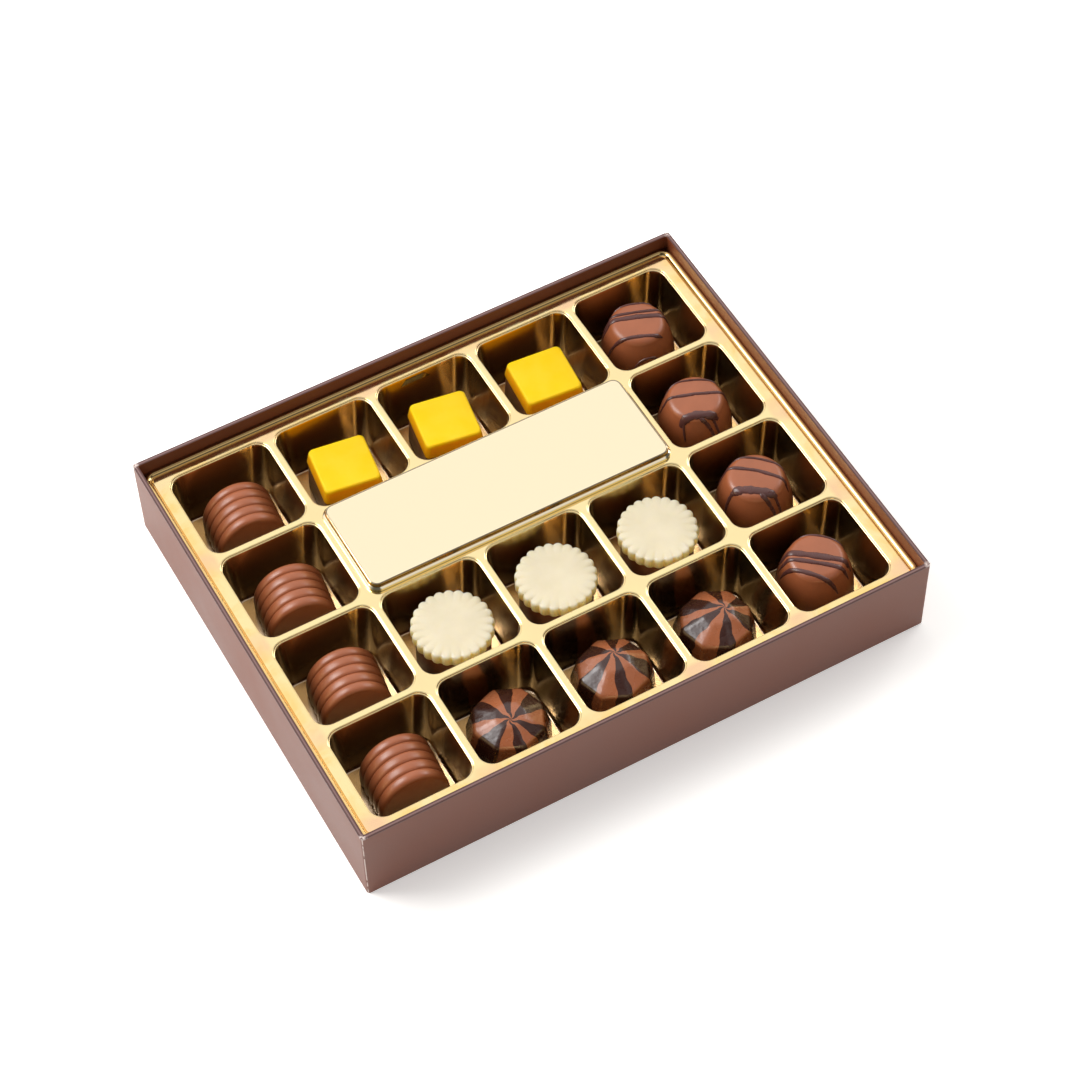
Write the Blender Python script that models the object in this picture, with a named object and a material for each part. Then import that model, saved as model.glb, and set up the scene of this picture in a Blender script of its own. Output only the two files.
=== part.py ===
"""An open box of chocolates.

A paper-covered board tray holds a gold formed insert with seventeen pits and a raised plaque.
Each pit holds one chocolate: four ribbed logs, three yellow-capped blocks, three discs with a
scalloped white cap, three faceted swirl domes and four domes with drizzled stripes.

Metres, +Z up. The origin is at the centre of the footprint, on the surface the box stands on.
+X runs along the long side, and the short side at +Y is the back.
"""
import math
import random

import bmesh
import bpy
from mathutils import Vector

MM = 0.001

# Tray
TRAY_X = 200.0
TRAY_Y = 160.8
TRAY_Z = 31.5
BOARD = 1.5
TRAY_CORNER = 1.0
RIM_ROUND = 0.3

# Clearance between pieces that touch
GAP = 0.3

# Insert
DECK_Z = 25.5
DECK_X = 95.6
DECK_Y = 76.3
DECK_CORNER = 4.5
LEDGE_DROP = 1.3
INSERT_CORNER = 2.0
PIT_PITCH = 37.3
PIT_HALF = 17.2
PIT_CORNER = 4.3
PIT_DRAFT = 1.3
PIT_FILLET = 0.9
PIT_LIP = 0.4
PIT_FLOOR_Z = 2.4
COLUMNS = 5
ROWS = 4

# Raised plaque over the three middle pits of the second row
PLAQUE_HALF_X = 55.2
PLAQUE_HALF_Y = 18.7
PLAQUE_CORNER = 4.0
PLAQUE_RISE = 3.0

# Chocolates stand this high above the tray's underside
FOOT_Z = PIT_FLOOR_Z + GAP


def new_material(name, colour, roughness, metallic=0.0):
    """A Principled material with one colour."""
    material = bpy.data.materials.new(name)
    material.use_nodes = True
    shader = material.node_tree.nodes["Principled BSDF"]
    shader.inputs["Base Color"].default_value = (*colour, 1.0)
    shader.inputs["Roughness"].default_value = roughness
    shader.inputs["Metallic"].default_value = metallic
    return material


def rounded_rectangle(half_x, half_y, radius, z, steps, centre=(0.0, 0.0)):
    """Corners of a rectangle with round corners, counter-clockwise from above, in millimetres."""
    points = []
    for quarter, (side_x, side_y) in enumerate(((1, 1), (-1, 1), (-1, -1), (1, -1))):
        middle_x = centre[0] + side_x * (half_x - radius)
        middle_y = centre[1] + side_y * (half_y - radius)
        for step in range(steps + 1):
            angle = math.pi / 2 * (quarter + step / steps)
            points.append(Vector((
                middle_x + radius * math.cos(angle),
                middle_y + radius * math.sin(angle),
                z,
            )))
    return points


def add_ring(bm, points):
    """Vertices of a closed ring, from millimetres."""
    return [bm.verts.new(point * MM) for point in points]


def bridge(bm, lower, upper):
    """Faces between two rings with the same number of points."""
    count = len(lower)
    for index in range(count):
        following = (index + 1) % count
        bm.faces.new((lower[index], lower[following], upper[following], upper[index]))


def ring_edges(bm, ring):
    """The edges around a ring, made where they don't exist yet."""
    edges = []
    for index, vert in enumerate(ring):
        following = ring[(index + 1) % len(ring)]
        edge = bm.edges.get((vert, following))
        edges.append(edge or bm.edges.new((vert, following)))
    return edges


def finish(bm, name, material, location=(0.0, 0.0, 0.0), turn=0.0, sharp=35.0):
    """Turn the mesh into a named object with smooth shading and its own material."""
    bmesh.ops.recalc_face_normals(bm, faces=bm.faces[:])
    mesh = bpy.data.meshes.new(name)
    bm.to_mesh(mesh)
    bm.free()
    mesh.shade_smooth()
    mesh.set_sharp_from_angle(angle=math.radians(sharp))
    mesh.materials.append(material)
    piece = bpy.data.objects.new(name, mesh)
    piece.location = Vector(location) * MM
    piece.rotation_euler = (0.0, 0.0, math.radians(turn))
    bpy.context.scene.collection.objects.link(piece)
    return piece


def pit_centre(column, row):
    """Centre of a pit: columns from the left, rows from the back."""
    return (
        (column - (COLUMNS - 1) / 2) * PIT_PITCH,
        ((ROWS - 1) / 2 - row) * PIT_PITCH,
    )


def is_pit(column, row):
    """The plaque takes the place of three pits in the second row."""
    return not (row == 1 and 1 <= column <= 3)


def lofted(rings, close_first=True, close_last=True):
    """A closed body through rings of equal size, given from the first to the last."""
    bm = bmesh.new()
    loops = [add_ring(bm, ring) for ring in rings]
    for lower, upper in zip(loops, loops[1:]):
        bridge(bm, lower, upper)
    if close_first:
        bm.faces.new(list(reversed(loops[0])))
    if close_last:
        bm.faces.new(loops[-1])
    return bm


def make_tray():
    """A floor and four walls of board, open at the top."""
    outer_x = TRAY_X / 2
    outer_y = TRAY_Y / 2
    inner_x = outer_x - BOARD
    inner_y = outer_y - BOARD
    inner_corner = 0.4

    def ring(inset, z):
        return rounded_rectangle(outer_x - inset, outer_y - inset, TRAY_CORNER, z, 3)

    def inner_ring(inset, z):
        return rounded_rectangle(inner_x + inset, inner_y + inset, inner_corner, z, 3)

    rings = [
        ring(0.3, 0.0),
        ring(0.0, 0.3),
        ring(0.0, TRAY_Z - RIM_ROUND),
        ring(RIM_ROUND, TRAY_Z),
        inner_ring(RIM_ROUND, TRAY_Z),
        inner_ring(0.0, TRAY_Z - RIM_ROUND),
        inner_ring(0.0, BOARD),
    ]
    material = new_material("brown_board", (0.16, 0.075, 0.06), 0.55)
    return finish(lofted(rings), "box_tray", material)


def pit_rings(centre):
    """The surface of one pit, from its lip on the deck down to the edge of its floor."""
    levels = (
        (PIT_LIP, DECK_Z),
        (0.0, DECK_Z - PIT_LIP),
        (-PIT_DRAFT, PIT_FLOOR_Z + PIT_FILLET),
        (-PIT_DRAFT - PIT_FILLET, PIT_FLOOR_Z),
    )
    rings = []
    for grow, z in levels:
        half = PIT_HALF + grow
        radius = PIT_CORNER + grow * 0.5
        rings.append(rounded_rectangle(half, half, radius, z, 3, centre))
    return rings


def make_insert():
    """The formed insert: a deck with a stepped edge, seventeen pits and a raised plaque."""
    inner_x = TRAY_X / 2 - BOARD - GAP
    inner_y = TRAY_Y / 2 - BOARD - GAP
    base_z = BOARD + GAP
    ledge_z = DECK_Z - LEDGE_DROP
    bm = bmesh.new()

    edge_levels = (
        (inner_x, inner_y, INSERT_CORNER, base_z),
        (inner_x, inner_y, INSERT_CORNER, ledge_z),
        (DECK_X + 0.35, DECK_Y + 0.35, DECK_CORNER + 0.35, ledge_z),
        (DECK_X, DECK_Y, DECK_CORNER, DECK_Z - 0.35),
        (DECK_X - 0.6, DECK_Y - 0.6, DECK_CORNER - 0.6, DECK_Z),
    )
    loops = [
        add_ring(bm, rounded_rectangle(half_x, half_y, radius, z, 5))
        for half_x, half_y, radius, z in edge_levels
    ]
    for lower, upper in zip(loops, loops[1:]):
        bridge(bm, lower, upper)
    bm.faces.new(list(reversed(loops[0])))
    deck_edges = ring_edges(bm, loops[-1])

    for row in range(ROWS):
        for column in range(COLUMNS):
            if not is_pit(column, row):
                continue
            loops = [add_ring(bm, ring) for ring in pit_rings(pit_centre(column, row))]
            for upper, lower in zip(loops, loops[1:]):
                bridge(bm, upper, lower)
            bm.faces.new(loops[-1])
            deck_edges += ring_edges(bm, loops[0])

    plaque_levels = (
        (0.0, 0.0),
        (0.35, 1.3),
        (0.75, 1.5),
        (1.1, PLAQUE_RISE - 0.3),
        (1.5, PLAQUE_RISE),
    )
    centre = pit_centre(2, 1)
    loops = []
    for inset, rise in plaque_levels:
        loops.append(add_ring(bm, rounded_rectangle(
            PLAQUE_HALF_X - inset * 0.7,
            PLAQUE_HALF_Y - inset,
            PLAQUE_CORNER - inset * 0.7,
            DECK_Z + rise,
            5,
            centre,
        )))
    for lower, upper in zip(loops, loops[1:]):
        bridge(bm, lower, upper)
    bm.faces.new(loops[-1])
    deck_edges += ring_edges(bm, loops[0])

    bmesh.ops.triangle_fill(bm, edges=deck_edges, use_beauty=True, use_dissolve=False,
                            normal=(0.0, 0.0, 1.0))
    material = new_material("gold_film", (0.95, 0.74, 0.36), 0.12, 1.0)
    return finish(bm, "insert", material)


LOG_WIDTH = 23.9
LOG_LENGTH = 17.6
LOG_HEIGHT = 18.4
LOG_RIBS = 5
LOG_GROOVE = 0.6


def log_section(inset, y, width, height):
    """One cross-section of a log: low upright flanks under an arch, counter-clockwise."""
    half = width / 2 - inset
    flank = 4.5
    top = height - inset
    points = [Vector((-half + 0.4, y, 0.0)), Vector((half - 0.4, y, 0.0)), Vector((half, y, 0.8))]
    arcs = 10
    for step in range(arcs + 1):
        angle = math.pi * step / arcs
        across = math.cos(angle)
        points.append(Vector((
            half * 0.98 * math.copysign(abs(across) ** 0.97, across),
            y,
            flank + (top - flank) * abs(math.sin(angle)) ** 0.97,
        )))
    points.append(Vector((-half, y, 0.8)))
    return points


def make_log(name, column, row, shift, turn, material, seed):
    """A short arched log with rounded ribs across it and smooth ends."""
    dice = random.Random(seed)
    width = LOG_WIDTH + dice.uniform(-0.3, 0.3)
    length = LOG_LENGTH + dice.uniform(-0.3, 0.3)
    height = LOG_HEIGHT + dice.uniform(-0.3, 0.3)
    half = length / 2
    rib = length / LOG_RIBS
    stations = [(-half, 1.6), (-half + 0.5, 0.6), (-half + 1.3, 0.1)]
    for index in range(LOG_RIBS):
        middle = -half + (index + 0.5) * rib
        if index:
            stations.append((middle - rib * 0.32, 0.1))
        if index < LOG_RIBS - 1:
            stations.append((middle + rib * 0.32, 0.1))
            stations.append((middle + rib * 0.5, LOG_GROOVE))
    stations += [(half - 0.5, 0.6), (half, 1.6)]
    rings = [log_section(inset, y, width, height) for y, inset in stations]
    centre = pit_centre(column, row)
    place = (centre[0] + shift[0], centre[1] + shift[1], FOOT_Z)
    return finish(lofted(rings), name, material, place, turn)


BLOCK_TOP = 18.6
BLOCK_CAP = 5.4
BLOCK_HEIGHT = 17.2


def make_block(name, column, row, shift, turn, material, seed):
    """A square chocolate with a thick cap that stands out a little over its body."""
    dice = random.Random(seed)
    top = BLOCK_TOP / 2 + dice.uniform(-0.15, 0.15)
    height = BLOCK_HEIGHT + dice.uniform(-0.2, 0.2)
    cap_z = height - BLOCK_CAP
    levels = (
        (top + 0.9, 1.6, 0.0),
        (top + 1.3, 1.8, 0.5),
        (top + 0.75, 1.8, cap_z - 0.15),
        (top + 1.05, 1.8, cap_z + 0.15),
        (top + 0.45, 1.8, height - 1.0),
        (top + 0.25, 1.7, height - 0.35),
        (top - 0.3, 1.4, height),
    )
    rings = [rounded_rectangle(half, half, radius, z, 4) for half, radius, z in levels]
    centre = pit_centre(column, row)
    place = (centre[0] + shift[0], centre[1] + shift[1], FOOT_Z)
    return finish(lofted(rings), name, material, place, turn)


DISC_RADIUS = 13.3
DISC_SCALLOPS = 24
DISC_CAP = 4.8
DISC_HEIGHT = 18.0


def scallop_ring(radius, depth, z, scallops):
    """A circle of round lobes that meet in sharp valleys."""
    points = []
    per_lobe = 3
    for index in range(scallops * per_lobe):
        share = (index % per_lobe) / per_lobe
        bulge = 1.0 - abs(2.0 * share - 1.0) ** 2 if index % per_lobe else 0.0
        angle = 2.0 * math.pi * index / (scallops * per_lobe)
        reach = radius - depth * (1.0 - bulge)
        points.append(Vector((reach * math.cos(angle), reach * math.sin(angle), z)))
    return points


def make_disc(name, column, row, shift, turn, material, seed):
    """A round chocolate with a thick cap whose edge is scalloped."""
    dice = random.Random(seed)
    radius = DISC_RADIUS + dice.uniform(-0.15, 0.15)
    height = DISC_HEIGHT + dice.uniform(-0.2, 0.2)
    cap_z = height - DISC_CAP
    levels = (
        (radius - 1.1, 0.0, 0.0),
        (radius - 1.4, 0.1, cap_z - 0.2),
        (radius - 0.6, 0.4, cap_z),
        (radius, 0.75, cap_z + 0.8),
        (radius, 0.75, height - 0.5),
        (radius - 0.5, 0.6, height),
    )
    rings = [scallop_ring(reach, depth, z, DISC_SCALLOPS) for reach, depth, z in levels]
    centre = pit_centre(column, row)
    place = (centre[0] + shift[0], centre[1] + shift[1], FOOT_Z)
    return finish(lofted(rings), name, material, place, turn)


SWIRL_FOOT = 14.2
SWIRL_SHOULDER = 11.6
SWIRL_HEIGHT = 15.3
SWIRL_SIDE_HEIGHT = 11.8
SWIRL_SIDES = 8


def make_swirl(name, column, row, shift, turn, material, seed):
    """A dome of eight wide facets above eight steep ones, twisted a little towards its peak."""
    dice = random.Random(seed)
    grow = dice.uniform(-0.15, 0.15)
    shoulder = SWIRL_SHOULDER + grow
    foot = SWIRL_FOOT + grow
    levels = (
        (foot - 0.5, 0.0, 0.0),
        (foot, 0.0, 0.6),
        (shoulder + 0.15, 0.0, SWIRL_SIDE_HEIGHT - 0.5),
        (shoulder - 0.35, 0.0, SWIRL_SIDE_HEIGHT + 0.1),
        (4.6, 3.0, SWIRL_HEIGHT - 0.45),
        (0.8, 12.0, SWIRL_HEIGHT),
    )
    per_side = 2
    rings = []
    for reach, twist, z in levels:
        ring = []
        for index in range(SWIRL_SIDES * per_side):
            angle = 2.0 * math.pi * index / (SWIRL_SIDES * per_side) + math.radians(twist)
            flat = math.cos(math.pi / SWIRL_SIDES) + 0.008 if index % per_side else 1.0
            ring.append(Vector((reach * flat * math.cos(angle), reach * flat * math.sin(angle), z)))
        rings.append(ring)
    centre = pit_centre(column, row)
    place = (centre[0] + shift[0], centre[1] + shift[1], FOOT_Z)
    return finish(lofted(rings), name, material, place, turn, 12.0)


DOME_RADIUS = 13.0
DOME_SHOULDER = 9.8
DOME_HEIGHT = 20.0
DOME_ROUND = 2.8
DOME_ARCS = 3
DOME_SIDES = 24


# The drizzle on each striped dome: start, middle and end of every thread, and its width, on
# the dome's surface rolled out flat about the peak
DRIZZLE_RISE = 0.35
DRIZZLE_ROOT = 0.45
DRIZZLE_SLANT = 0.18
DRIZZLES = (
    (
        ((-6.0, 10.0), (2.0, 7.5), (9.5, 4.5), 0.8),
        ((-15.0, 10.5), (-2.0, 4.6), (14.0, -0.5), 0.9),
        ((-16.0, 8.2), (0.2, 1.6), (14.0, -3.6), 1.6),
        ((-19.0, -1.5), (-6.0, -4.6), (5.0, -9.5), 1.1),
        ((-12.0, -13.6), (-5.0, -13.2), (3.0, -16.0), 0.8),
    ),
    (
        ((-9.0, 10.0), (1.5, 6.8), (11.0, 1.5), 0.6),
        ((-15.0, 7.0), (-1.0, 1.2), (14.0, -4.5), 0.9),
        ((-11.0, -7.0), (-4.0, -6.3), (3.4, -11.2), 2.6),
        ((-8.0, -5.5), (-10.5, -8.5), (-13.0, -12.5), 0.8),
        ((-3.2, -8.0), (-1.2, -12.2), (1.0, -18.5), 1.2),
        ((0.6, -8.0), (2.0, -12.8), (4.2, -18.0), 1.0),
    ),
    (
        ((-7.0, 13.0), (3.5, 5.7), (12.0, -4.0), 0.7),
        ((-13.0, 12.0), (0.0, 2.3), (10.0, -9.5), 1.0),
        ((-18.5, -2.6), (-13.5, -1.5), (-9.0, -1.6), 1.2),
        ((-10.2, -1.7), (-4.4, -3.8), (2.4, -10.2), 2.6),
        ((-2.4, -6.2), (-1.0, -11.5), (1.2, -17.5), 1.2),
        ((1.2, -7.8), (2.4, -12.0), (4.4, -17.0), 1.0),
    ),
    (
        ((-4.0, 13.0), (3.9, 7.0), (11.5, -1.0), 0.7),
        ((-13.0, 11.0), (-1.5, 1.0), (11.0, -9.0), 1.8),
        ((-15.0, 8.0), (-3.0, -0.8), (8.5, -12.0), 1.3),
        ((-16.5, 4.5), (-6.0, -3.7), (1.4, -16.0), 1.3),
    ),
)


def dome_outline(radius, height):
    """Outline of a dome from the middle of its top down to its foot, as radius and height."""
    shoulder = DOME_SHOULDER + radius - DOME_RADIUS
    points = [(0.0, height), (shoulder - DOME_ROUND - 4.0, height)]
    for step in range(DOME_ARCS + 1):
        angle = math.pi / 2 * (1.0 - step / DOME_ARCS)
        points.append((
            shoulder - DOME_ROUND * (1.0 - math.cos(angle)),
            height - 0.25 - DOME_ROUND * (1.0 - math.sin(angle)),
        ))
    points += [(radius - 0.5, height * 0.4), (radius, 0.8), (radius - 0.7, 0.0)]
    return points


def along_outline(outline, distance):
    """The point at a distance along an outline, from its first point."""
    left = distance
    for near, far in zip(outline, outline[1:]):
        length = math.dist(near, far)
        if left <= length:
            share = left / length
            return tuple(a + (b - a) * share for a, b in zip(near, far))
        left -= length
    return outline[-1]


def over_dome(outline, spot, lift):
    """A spot of the rolled-out surface put back on the dome and lifted off it."""
    distance = spot.length
    reach, z = along_outline(outline, distance)
    near = along_outline(outline, max(0.0, distance - 0.8))
    far = along_outline(outline, distance + 0.8)
    slope = math.dist(near, far)
    reach += lift * (near[1] - far[1]) / slope
    z += lift * (far[0] - near[0]) / slope
    heading = spot / distance if distance > 0.01 else Vector((0.0, 0.0))
    return Vector((heading.x * reach, heading.y * reach, z))


def thread_spots(start, middle, end):
    """Spots along a bent thread, closer together where it passes over the shoulder."""
    start, middle, end = Vector(start), Vector(middle), Vector(end)
    pull = 2.0 * middle - (start + end) / 2.0
    fine = 60
    spots = []
    for step in range(fine + 1):
        t = step / fine
        spot = (1.0 - t) ** 2 * start + 2.0 * t * (1.0 - t) * pull + t ** 2 * end
        ahead = 2.0 * (1.0 - t) * (pull - start) + 2.0 * t * (end - pull)
        spacing = 1.6 if 6.0 < spot.length < 12.5 else 3.6
        if not spots or step == fine or (spot - spots[-1][0]).length >= spacing:
            spots.append((spot, ahead.normalized()))
    return spots


def make_thread(outline, start, middle, end, width):
    """A drizzled thread, rooted in the dome and standing a little proud of it."""
    spots = thread_spots(start, middle, end)
    rings = []
    for index, (spot, ahead) in enumerate(spots):
        side = Vector((-ahead.y, ahead.x))
        half = width / 2.0 * (0.7 if index in (0, len(spots) - 1) else 1.0)
        foot = half + DRIZZLE_SLANT
        crest = max(half - DRIZZLE_SLANT, 0.12)
        rings.append([
            over_dome(outline, spot - side * foot, -DRIZZLE_ROOT),
            over_dome(outline, spot + side * foot, -DRIZZLE_ROOT),
            over_dome(outline, spot + side * crest, DRIZZLE_RISE),
            over_dome(outline, spot - side * crest, DRIZZLE_RISE),
        ])
    return lofted(rings)


def unite(piece, helpers):
    """Fuse helper objects into a piece with one Boolean union, then remove them."""
    group = bpy.data.collections.new("drizzle")
    bpy.context.scene.collection.children.link(group)
    for helper in helpers:
        group.objects.link(helper)
        bpy.context.scene.collection.objects.unlink(helper)
    union = piece.modifiers.new("drizzle", "BOOLEAN")
    union.operation = "UNION"
    union.operand_type = "COLLECTION"
    union.collection = group
    union.solver = "EXACT"
    fused = bpy.data.meshes.new_from_object(
        piece.evaluated_get(bpy.context.evaluated_depsgraph_get())
    )
    piece.modifiers.clear()
    piece.data = fused
    for helper in helpers:
        bpy.data.objects.remove(helper)
    bpy.data.collections.remove(group)


def make_dome(name, column, row, shift, turn, material, seed):
    """A round chocolate with a nearly flat top, a rounded shoulder and drizzle fused on."""
    dice = random.Random(seed)
    radius = DOME_RADIUS + dice.uniform(-0.2, 0.2)
    height = DOME_HEIGHT + dice.uniform(-0.2, 0.2)
    outline = dome_outline(radius, height)
    rings = []
    for reach, z in reversed(outline[1:]):
        rings.append([
            Vector((
                reach * math.cos(2.0 * math.pi * index / DOME_SIDES),
                reach * math.sin(2.0 * math.pi * index / DOME_SIDES),
                z,
            ))
            for index in range(DOME_SIDES)
        ])
    centre = pit_centre(column, row)
    place = (centre[0] + shift[0], centre[1] + shift[1], FOOT_Z)
    dome = finish(lofted(rings), name, material, place, turn, 30.0)
    threads = [
        finish(make_thread(outline, *thread), f"thread_{index}", material, place, turn, 30.0)
        for index, thread in enumerate(DRIZZLES[row])
    ]
    unite(dome, threads)
    return dome


LOGS = (
    (0, 0, (1.1, 0.9), -5.0),
    (0, 1, (1.1, 0.9), -8.0),
    (0, 2, (1.1, 0.9), -8.0),
    (0, 3, (1.1, 1.2), -4.0),
)
BLOCKS = (
    (1, 0, (0.2, -0.6), -8.0),
    (2, 0, (0.2, -0.6), -9.0),
    (3, 0, (0.2, -0.6), -5.0),
)
DISCS = (
    (1, 2, (0.3, 0.0), 0.0),
    (2, 2, (0.3, 0.0), 5.0),
    (3, 2, (0.3, 0.0), 9.0),
)
SWIRLS = (
    (1, 3, (0.4, 1.3), -3.0),
    (2, 3, (0.5, 1.3), -3.0),
    (3, 3, (0.4, 1.3), -6.0),
)
DOMES = (
    (4, 0, (0.4, 1.8), 0.0),
    (4, 1, (0.4, 1.6), 0.0),
    (4, 2, (0.4, 1.2), 0.0),
    (4, 3, (0.4, 1.6), 0.0),
)


def make_chocolates():
    """One chocolate for each pit."""
    milk = (0.27, 0.10, 0.055)
    kinds = (
        ("ribbed_log", make_log, LOGS, milk, 0.35),
        ("yellow_block", make_block, BLOCKS, (1.0, 0.66, 0.02), 0.4),
        ("scalloped_disc", make_disc, DISCS, (0.92, 0.84, 0.60), 0.45),
        ("swirl_dome", make_swirl, SWIRLS, (0.16, 0.05, 0.035), 0.25),
        ("striped_dome", make_dome, DOMES, milk, 0.35),
    )
    for kind, maker, places, colour, roughness in kinds:
        for index, (column, row, shift, turn) in enumerate(places, start=1):
            name = f"{kind}_{index}"
            material = new_material(name, colour, roughness)
            maker(name, column, row, shift, turn, material, len(kind) * 100 + index)


def main():
    for old in list(bpy.data.objects):
        bpy.data.objects.remove(old)
    make_tray()
    make_insert()
    make_chocolates()


if __name__ == "__main__":
    main()
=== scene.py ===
"""Open box of chocolates.

A tray of brown paper-covered board holds a gold formed insert with seventeen pits and a raised
blank plaque. Each pit holds one chocolate: ribbed logs, yellow-capped blocks, discs with a
scalloped white cap, faceted domes of light and dark wedges, and domes with dark drizzle.
"""

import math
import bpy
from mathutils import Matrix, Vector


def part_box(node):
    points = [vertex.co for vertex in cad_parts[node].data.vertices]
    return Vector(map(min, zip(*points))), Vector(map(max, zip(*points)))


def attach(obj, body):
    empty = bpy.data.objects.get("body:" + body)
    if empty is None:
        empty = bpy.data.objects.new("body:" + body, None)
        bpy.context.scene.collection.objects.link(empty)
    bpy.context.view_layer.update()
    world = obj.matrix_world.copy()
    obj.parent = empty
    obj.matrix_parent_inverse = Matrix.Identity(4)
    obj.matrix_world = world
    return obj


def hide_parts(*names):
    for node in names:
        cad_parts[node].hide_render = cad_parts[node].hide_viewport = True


bl_info = {
    "name": "Box of Chocolates",
    "version": (1, 0, 0),
    "blender": (4, 5, 0),
    "location": "View3D > Sidebar > Chocolates",
    "description": "Models an open box of chocolates over its packed frame",
    "category": "Object",
}

import bmesh
import bpy
from bpy.props import (
    FloatProperty,
    FloatVectorProperty,
    IntProperty,
    PointerProperty,
)
from mathutils import Vector

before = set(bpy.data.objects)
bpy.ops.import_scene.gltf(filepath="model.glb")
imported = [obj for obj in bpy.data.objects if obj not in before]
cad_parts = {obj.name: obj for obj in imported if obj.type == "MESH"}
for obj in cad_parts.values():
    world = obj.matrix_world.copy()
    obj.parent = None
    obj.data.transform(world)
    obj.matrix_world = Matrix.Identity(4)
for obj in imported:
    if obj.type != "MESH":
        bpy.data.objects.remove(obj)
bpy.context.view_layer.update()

MM = 0.001
TRAY_LOW, TRAY_HIGH = (Vector(corner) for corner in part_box("box_tray"))
INSERT_LOW, INSERT_HIGH = (Vector(corner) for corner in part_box("insert"))


def number(name, description, default, low=0.0, **limits):
    """A plain number setting."""
    return FloatProperty(
        name=name, description=description, default=default, min=low, **limits,
    )


def length(name, description, default):
    """A length setting in metres, from its default in millimetres."""
    return number(name, description, default * MM, unit="LENGTH", precision=5)


def colour(name, description, default):
    """A colour setting in linear light."""
    return FloatVectorProperty(
        name=name, description=description, default=default, size=3, min=0.0, max=1.0,
        subtype="COLOR",
    )


class TraySettings(bpy.types.PropertyGroup):
    """Sizes and colours of the board tray."""

    board: length("Board", "Thickness of the wrapped board", 1.5)
    corner: length("Corner", "Radius of the upright outer edges", 1.0)
    rim_round: length("Rim rounding", "Rounding of the paper over the rim", 0.35)
    paper: colour("Paper", "Colour of the brown paper", (0.158, 0.045, 0.021))
    rim: colour("Rim", "Colour of the paper folded over the rim", (0.130, 0.050, 0.046))
    # Painted light: the paper inside the tray is given a warmer, more orange colour for the light
    # bounced onto it from the gold film.
    inside: colour("Inside", "Colour of the paper inside the tray", (0.180, 0.042, 0.012))
    # The worn-edge colour also paints a highlight line along the middle of the rim.
    worn: colour("Worn edge", "Colour of the paper where its edges are rubbed", (0.72, 0.60, 0.55))


class InsertSettings(bpy.types.PropertyGroup):
    """Sizes and colours of the gold formed insert."""

    deck_height: length("Deck height", "Height of the deck above the table", 25.5)
    flange_rise: length("Flange rise", "Height of the rounded flange round the deck", 0.9)
    pitch: length("Pitch", "Distance between the middles of two pits", 37.3)
    pit_half: length("Pit half width", "Half the width of a pit at its top", 17.2)
    pit_corner: length("Pit corner", "Radius of a pit's upright corners", 4.3)
    pit_draft: length("Pit draft", "How far a pit's walls lean in towards its floor", 1.3)
    pit_lip: length("Pit lip", "Rounding of the deck into a pit", 0.4)
    pit_floor: length("Pit floor", "Height of the pits' floors above the table", 2.4)
    plaque_half_x: length("Plaque half length", "Half the raised plaque's long side", 55.2)
    plaque_half_y: length("Plaque half width", "Half the raised plaque's short side", 18.7)
    plaque_corner: length("Plaque corner", "Radius of the plaque's corners", 4.0)
    plaque_rise: length("Plaque rise", "Height of the plaque above the deck", 3.0)
    film: colour("Film", "Colour of the gold film", (0.95, 0.78, 0.41))
    # Painted reflection: the reddish tint where the deck's ribs cross stands for the curved film's
    # reflection there.
    painted_joint_reflection: colour("Blush", "Colour of the film at the joints of its ribs", (0.90, 0.60, 0.36))
    # Painted highlight: the plaque's film is painted paler than the same film on the deck.
    pale: colour("Pale film", "Colour of the film on the plaque", (0.96, 0.82, 0.58))
    drawn: colour("Drawn film", "Colour of the film drawn thin in the pits", (0.60, 0.46, 0.23))
    # Painted light: the pits' floors are given a brighter film than their walls.
    floor: colour("Pit floor film", "Colour of the film on the pits' floors", (0.84, 0.62, 0.42))
    gilded: colour("Gilded film", "Colour of the film along its margin", (0.95, 0.66, 0.25))
    # Painted shade: the flange's film is painted darker than the deck's film, and darker still
    # along the back.
    flange: colour("Flange film", "Colour of the film on the flange", (0.84, 0.57, 0.24))
    # Painted shade and painted reflection: dark and orange bands painted up the plaque's stepped
    # side.
    painted_dark_band: colour("Creased film", "Colour of the film in its tight creases",
                    (0.100, 0.050, 0.014))
    painted_orange_band: colour("Stretched film", "Colour of the film on the plaque's side",
                      (0.80, 0.46, 0.11))
    roughness: number("Roughness", "Roughness of the film", 0.10, max=1.0)


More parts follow.
